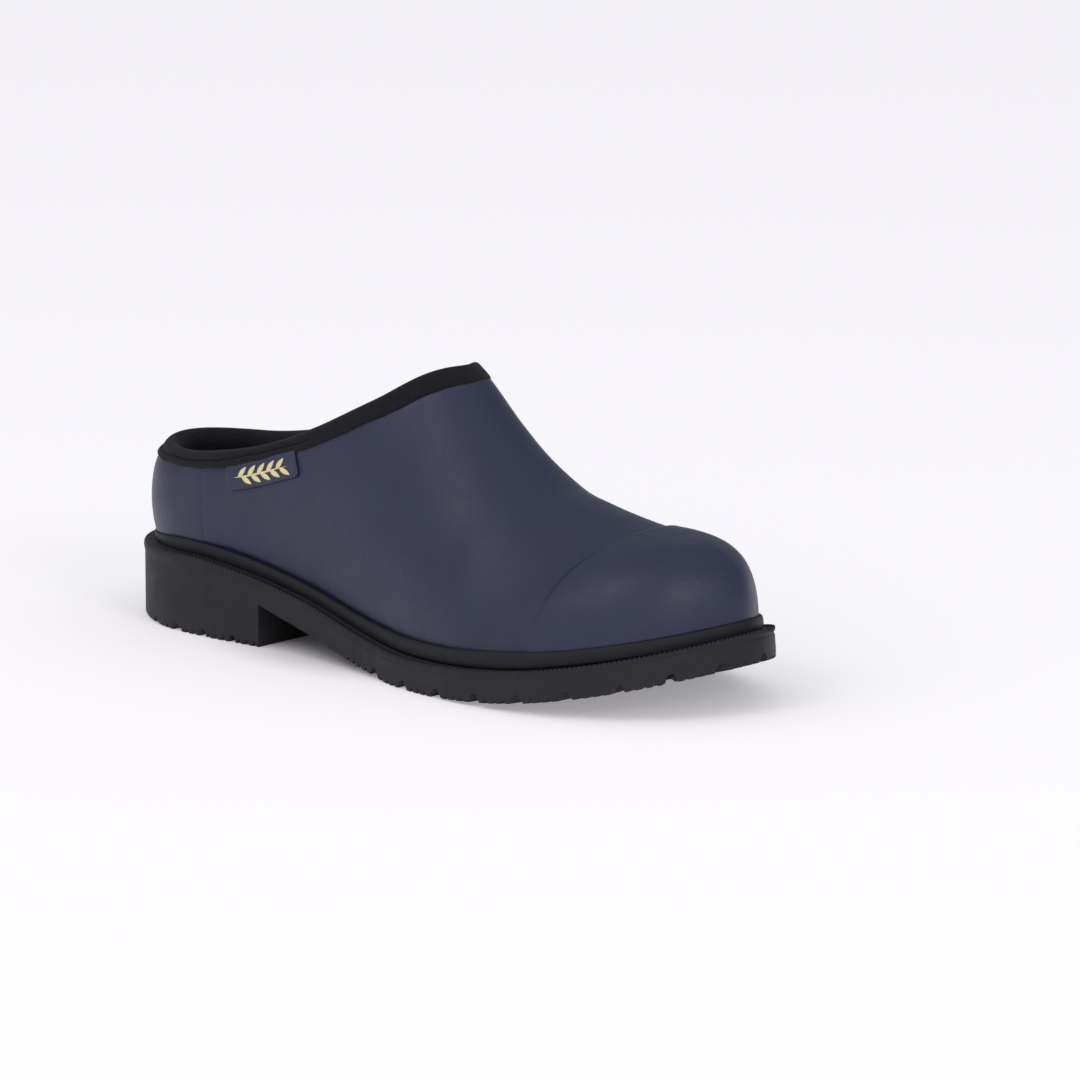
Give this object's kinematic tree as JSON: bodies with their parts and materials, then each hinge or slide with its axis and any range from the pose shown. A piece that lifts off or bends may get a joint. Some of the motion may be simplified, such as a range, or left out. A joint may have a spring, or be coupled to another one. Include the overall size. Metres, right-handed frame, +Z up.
{
  "type": "rubber garden clog",
  "caption": "Slip-on rubber garden clog with a lined upper, knit-bound mouth, rand, block heel, cleated outsole and a loose footbed that lifts at the heel.",
  "frame": {"origin": "on the ground, at the middle of the outsole's length and width", "axes": "+X towards the toe, +Z up, -Y towards the outer side of the right foot"},
  "size_m": [0.276, 0.1015, 0.1071],
  "materials": {
    "outsole_rubber": "matte charcoal rubber",
    "rand_rubber": "satin charcoal rubber",
    "upper_rubber": "satin navy rubber with a fine grain",
    "label_rubber": "satin navy rubber",
    "emblem_gold": "pale gold print",
    "binding_knit": "black knit-faced neoprene",
    "lining_fabric": "black neoprene lining",
    "stiffener": "stiffening sheet, hidden",
    "insole_board": "fibre board, hidden",
    "filler_cork": "ground cork, hidden",
    "shank_steel": "spring steel, hidden",
    "core_foam": "light foam, hidden",
    "footbed_foam": "moulded foam",
    "footbed_fabric": "black woven top cloth",
    "cushion_gel": "soft gel"
  },
  "bodies": {
    "clog": {"outsole": "outsole_rubber", "heel_core": "core_foam", "forepart_filler": "filler_cork", "shank": "shank_steel", "lasting_board": "insole_board", "sole_lining": "lining_fabric", "rand_strip": "rand_rubber", "upper_shell": "upper_rubber", "toe_cap": "stiffener", "heel_counter": "stiffener", "vamp_lining": "lining_fabric", "quarter_lining": "lining_fabric", "collar_binding": "binding_knit", "label_tab": "label_rubber", "label_emblem": "emblem_gold"},
    "footbed": {"footbed_foam": "footbed_foam", "footbed_cover": "footbed_fabric", "heel_cushion": "cushion_gel", "forefoot_cushion": "cushion_gel"}
  },
  "joints": [
    {"name": "footbed_lift", "type": "hinge", "parent": "clog", "child": "footbed", "pos_m": [0.1215, 0, 0.0272], "axis": [0, 1, 0], "range_deg": [0, 8]}
  ]
}
